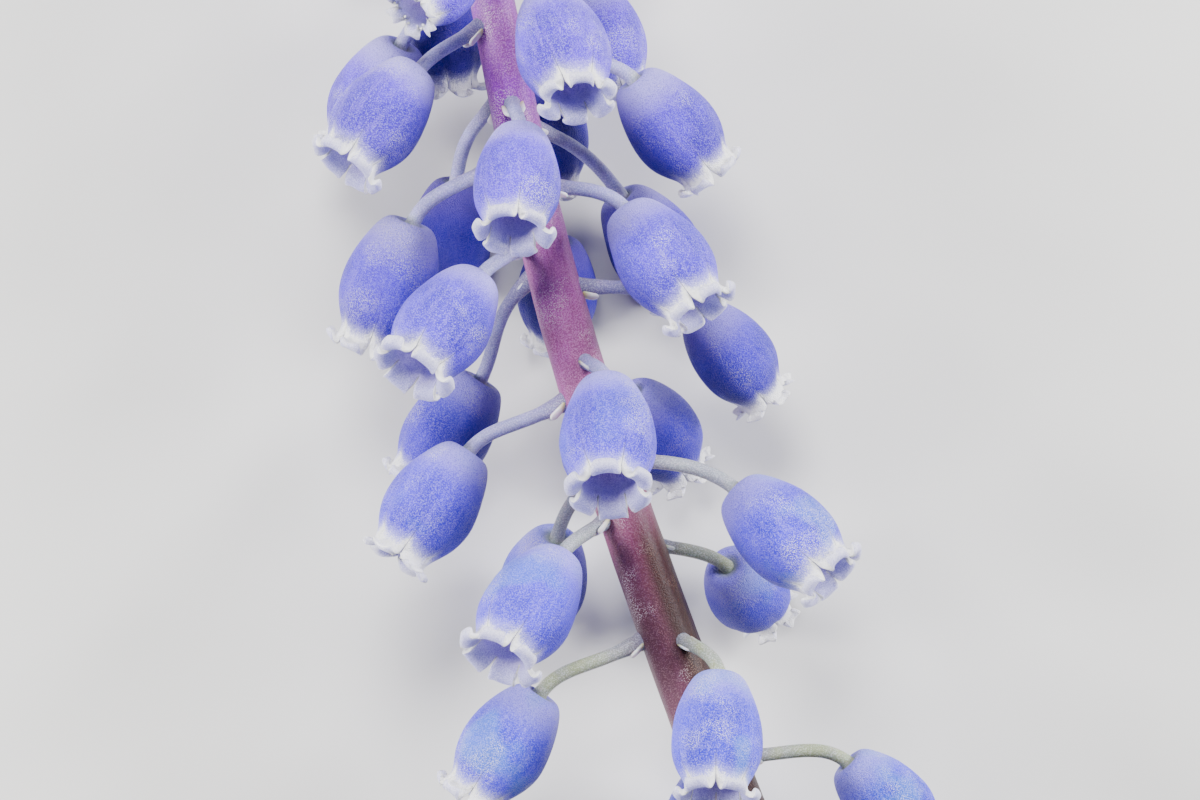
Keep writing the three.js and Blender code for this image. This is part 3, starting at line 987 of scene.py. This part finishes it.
def make_stalk(guide, points, walked):
    total = walked[-1]
    heights = list(zip(walked, (p.y - scape_shift.y for p in points)))
    rings = []
    for k in range(SCAPE_RINGS + 1):
        length = total * k / SCAPE_RINGS
        radius = between(between(length, heights), SCAPE_RADII)
        rings.append((length, radius * luck.uniform(0.985, 1.015)))
    piece = start_circle("stalk", SCAPE_SIDES, rings[0][1], 0)
    mark(piece, "along", 0)
    extrude_rings(piece, rings, length=total)
    extrude((0, 0, SCAPE_TOP))
    bpy.ops.mesh.merge(type="CENTER")
    pick(piece, lambda p: p.z < 0.01)
    extrude((0, 0, 0))
    resize((0.84, 0.84, 1))
    extrude((0, 0, 0.1))
    resize((0.8, 0.8, 1), (0, 0, 0.1))
    extrude((0, 0, 0.05))
    bpy.ops.mesh.merge(type="CENTER")
    pick(piece, lambda p: p.z < 0.2 and math.hypot(p.x, p.y) < rings[0][1] * 0.9)
    piece.data.materials.append(SCAPE_SKIN)
    piece.data.materials.append(CUT_PITH)
    piece.active_material_index = 1
    bpy.ops.object.material_slot_assign()
    for turn in RIB_TURNS:
        pick(piece, lambda p: abs((turn_of(p) - turn + 180) % 360 - 180) < 4 and p.z > 0.2)
        resize((1 - RIB_DEPTH, 1 - RIB_DEPTH, 1))
    bpy.ops.mesh.select_all(action="SELECT")
    bpy.ops.mesh.normals_make_consistent(inside=False)
    leave_edit()
    apply_modifier(piece, "CURVE", object=guide, deform_axis="POS_Z")
    subdivide_finish(piece, 1)
    # Painted shadow: low down, the side of the scape that the florets shade is darkened towards
    # brown, and the finish reads here how much.
    shaded = piece.data.attributes.new("shaded", "FLOAT", "POINT").data
    for k, corner in enumerate(piece.data.vertices):
        place = corner.co * MM
        across = (place - scape_middle(place.y)).x / MM
        shaded[k].value = min(max((across - SHADE_STARTS) / SHADE_WIDTH, 0), 1)
    return piece


guide = make_guide()
guide_points, guide_walked = line_of(guide)
stalk = make_stalk(guide, guide_points, guide_walked)


# ---------------------------------------------------------------- pedicels and bracts

PEDICEL_RADIUS = 0.3
SMALLEST_PEDICEL = 0.5
PEDICEL_CUTS = 7
ROOT_SUNK = 0.3
# A pedicel's handles as shares of its reach: outwards, hanging, and back from the crown.
LEAVE = 0.5
SAG = 0.15
ARRIVE = 0.32
# How much stouter a pedicel is at its root and at the crown.
ROOT_FLARE = (1.9, 1.3)
SEAT_FLARE = 1.12
# Pedicels turn green from this height down, in millimetres, over the span.
GREEN_BELOW = 4
GREEN_SPAN = 8
PLUMB = Vector((math.sin(-17 * DEG), -math.cos(17 * DEG), 0))
# Where each pedicel leaves the scape, in the same order as the florets.
ROOTS = [
    21, 18.6, 16.4, 20, 18.6, 18.8, 14.6, 16, 13.1, 13.3, 10.8, 7.2, 9.6, 12.2, 9.2, 4.8,
    6, 0.5, 1.9, 1.2, -2.8, -6.5, -3.2, -4.9, -10.1, -10.8, -16.1, -14.4, -17.6, -18.8, -19.6,
]
YOUNG_COUNT = 16
YOUNG_ROOTS = (22.7, 31.8)
ROOTS += [
    YOUNG_ROOTS[0] + (YOUNG_ROOTS[1] - YOUNG_ROOTS[0]) * k / (YOUNG_COUNT - 1)
    for k in range(YOUNG_COUNT)
]


def scape_at(y):
    """The point of the scape's middle line at a height from the raceme's middle."""
    return min(guide_points, key=lambda p: abs(p.y - scape_shift.y - y))


def make_pedicel(name, matrix, is_open, root):
    """A stem that leaves the scape outwards, arches over and meets the crown, a little stouter
    at both ends."""
    size = matrix.to_scale().x / MM
    aim = (matrix.to_3x3() @ Vector((0, 0, 1))).normalized()
    crown = matrix.translation / MM
    foot = scape_at(root)
    out = crown - foot
    out.y = 0
    out.normalize()
    start = foot + out * ROOT_SUNK
    seat = crown + aim * (CROWN_DIMPLE * size if is_open else 0.05)
    reach = (seat - start).length
    bpy.ops.curve.primitive_bezier_curve_add()
    stem = bpy.context.object
    stem.name = name
    shape = stem.data
    first, last = shape.splines[0].bezier_points
    for point, place, handle in (
        (first, start, start + out * LEAVE * reach + PLUMB * SAG * reach),
        (last, seat, seat - aim * ARRIVE * reach),
    ):
        point.handle_left_type = point.handle_right_type = "FREE"
        point.co = place
        point.handle_left = point.handle_right = handle
    bpy.ops.object.mode_set(mode="EDIT")
    bpy.ops.curve.select_all(action="SELECT")
    bpy.ops.curve.subdivide(number_cuts=PEDICEL_CUTS)
    bpy.ops.object.mode_set(mode="OBJECT")
    points = shape.splines[0].bezier_points
    points[0].radius, points[1].radius = ROOT_FLARE
    points[-1].radius = SEAT_FLARE
    shape.resolution_u = 4
    shape.bevel_depth = PEDICEL_RADIUS * (SMALLEST_PEDICEL + (1 - SMALLEST_PEDICEL) * size)
    shape.bevel_resolution = 4
    shape.use_fill_caps = True
    deselect()
    stem.select_set(True)
    bpy.context.view_layer.objects.active = stem
    bpy.ops.object.convert(target="MESH")
    stem = bpy.context.object
    layer = stem.data.attributes.new("along", "FLOAT", "POINT")
    for corner, stored in zip(stem.data.vertices, layer.data):
        stored.value = min((corner.co - start).length / reach, 1)
    write_number(stem, "green", min(max((GREEN_BELOW - crown.y) / GREEN_SPAN, 0), 1))
    dress(stem, PEDICEL_SKIN)
    smooth_finish(stem)
    return stem, out


BRACT_WIDE = 0.62
BRACT_LONG = 0.55
BRACT_BELOW = 0.42
BRACT_SUNK = 0.12
BRACT_DROOP = 0.55
BRACT_SIZES = (1.1, 1.6)


def make_bract():
    """A small two-lobed scale, cupped round the underside of a pedicel's foot."""
    deselect()
    bpy.ops.mesh.primitive_grid_add(x_subdivisions=6, y_subdivisions=4, size=1)
    piece = bpy.context.object
    piece.name = "bract"
    bpy.ops.object.mode_set(mode="EDIT")
    bpy.ops.mesh.select_all(action="SELECT")
    bpy.ops.transform.translate(value=(0, 0.5, 0))
    resize((BRACT_WIDE, BRACT_LONG, 1))
    far = BRACT_LONG * 0.99
    pick(piece, lambda p: p.y > far and abs(p.x) < 0.02)
    bpy.ops.transform.translate(value=(0, -0.2, 0))
    pick(piece, lambda p: p.y > far and 0.15 < abs(p.x) < 0.25)
    bpy.ops.transform.translate(value=(0, 0.06, 0.05))
    pick(piece, lambda p: abs(p.x) > 0.29)
    bpy.ops.transform.translate(value=(0, -0.06, 0.16))
    pick(piece, lambda p: 0.15 < abs(p.x) < 0.25)
    bpy.ops.transform.translate(value=(0, 0, 0.06))
    leave_edit()
    apply_modifier(piece, "SOLIDIFY", thickness=0.1, offset=0)
    subdivide_finish(piece, 1)
    layer = piece.data.attributes.new("along", "FLOAT", "POINT")
    for corner, stored in zip(piece.data.vertices, layer.data):
        stored.value = corner.co.y / BRACT_LONG
    dress(piece, BRACT_SCALE)
    return piece


BRACT_MASTER = make_bract()


def set_bract(name, out, root):
    """Puts a bract on the scape just below a pedicel's root."""
    radius = between(root - BRACT_BELOW, SCAPE_RADII)
    foot = scape_at(root - BRACT_BELOW) + out * (radius - BRACT_SUNK)
    forward = (out + Vector((0, -BRACT_DROOP, 0))).normalized()
    across = forward.cross(Vector((0, 1, 0))).normalized()
    up = across.cross(forward)
    piece = copy_of(BRACT_MASTER, name)
    size = luck.uniform(*BRACT_SIZES)
    turn = Matrix((across, forward, up)).transposed().to_4x4()
    tilt = Matrix.Rotation(luck.uniform(-14, 14) * DEG, 4, "Y")
    piece.data.transform(Matrix.Translation(foot) @ turn @ tilt @ Matrix.Scale(size, 4))
    return piece


grown = [stalk]
for k, (matrix, is_open) in enumerate(stands):
    stem, out = make_pedicel(f"pedicel_{k + 1:02d}", matrix, is_open, ROOTS[k])
    grown += [stem, set_bract(f"bract_{k + 1:02d}", out, ROOTS[k])]
stalk = join(grown)
stalk.data.transform(Matrix.Scale(MM, 4))
hand_over(stalk, "scape")


# ---------------------------------------------------------------- the knot of buds at the tip

KNOT_BUDS = 16
KNOT_LENGTH = 4.6
KNOT_RADIUS = 0.95
KNOT_CLEARANCE = 0.25
KNOT_CORE = [
    (0.02, 0.3), (0.1, 0.6), (0.35, 0.95), (1.0, 0.97), (1.9, 0.93), (2.8, 0.78), (3.7, 0.55),
    (4.3, 0.28),
]
# From the knot's foot to its tip: how far up it a bud stands, how far out, and its size.
KNOT_UP = (0.12, 0.74)
KNOT_OUT = (0.6, -0.4)
KNOT_SIZE = (0.42, -0.2)
KNOT_TOP_LIFT = 78


def make_knot():
    core = start_circle("bud_core", 16, KNOT_CORE[0][1], KNOT_CORE[0][0])
    mark(core, "along", 0.4)
    extrude_rings(core, KNOT_CORE, length=8)
    extrude((0, 0, KNOT_LENGTH - KNOT_CORE[-1][0]))
    bpy.ops.mesh.merge(type="CENTER")
    pick(core, lambda p: p.z < 0.03)
    extrude((0, 0, -0.02))
    bpy.ops.mesh.merge(type="CENTER")
    face_out(core)
    leave_edit()
    dress(core, FLORET_SKIN)
    smooth_finish(core)
    note_places(core)
    pieces = [core]
    for k in range(KNOT_BUDS):
        share = k / (KNOT_BUDS - 1)
        turn = GOLDEN_ANGLE * k * DEG
        lift = KNOT_TOP_LIFT * share * DEG
        level = math.cos(lift)
        aim = Vector((math.cos(turn) * level, math.sin(turn) * level, math.sin(lift)))
        up, outward, size = (low + more * share for low, more in (KNOT_UP, KNOT_OUT, KNOT_SIZE))
        base = Vector((0, 0, up * KNOT_LENGTH))
        base += aim * outward * KNOT_RADIUS
        side = Vector((0, 0, 1)).cross(aim).normalized()
        turned = Matrix((side, aim.cross(side), aim)).transposed().to_4x4()
        bud = copy_of(CLOSED_BUD, f"knot_bud_{k + 1:02d}")
        vary(bud.data, 0, Vector())
        bud.data.transform(Matrix.Translation(base) @ turned @ Matrix.Scale(size, 4))
        pieces.append(bud)
    knot = join(pieces)
    knot.name = knot.data.name = "tip_buds"
    foot = guide_points[-1]
    along = (guide_points[-1] - guide_points[-2]).normalized()
    turned = Vector((0, 0, 1)).rotation_difference(along).to_matrix().to_4x4()
    knot.data.transform(Matrix.Translation(foot + along * KNOT_CLEARANCE) @ turned)
    knot.data.transform(Matrix.Scale(MM, 4))
    write_number(knot, "age", 1.0)
    write_number(knot, "painted_shade", 0.0)
    hand_over(knot, "bud_knot")


make_knot()

for master in BLOOMS + [CLOSED_BUD, BRACT_MASTER, guide]:
    bpy.data.objects.remove(master)


# ---------------------------------------------------------------- the table

def make_table():
    material, tree, shader = new_material("pale_table", 0.7)
    place = object_place(tree)
    tone = fade(tree, clouds(tree, place, 40.0, 3.0), 0.3, 0.7)
    body = blend(tree, tone, colour("#DEDDDA"), colour("#E3E2DF"))
    tree.links.new(body, shader.inputs["Base Color"])
    deselect()
    bpy.ops.mesh.primitive_plane_add(size=3)
    table = bpy.context.object
    table.name = "table"
    dress(table, material)


make_table()
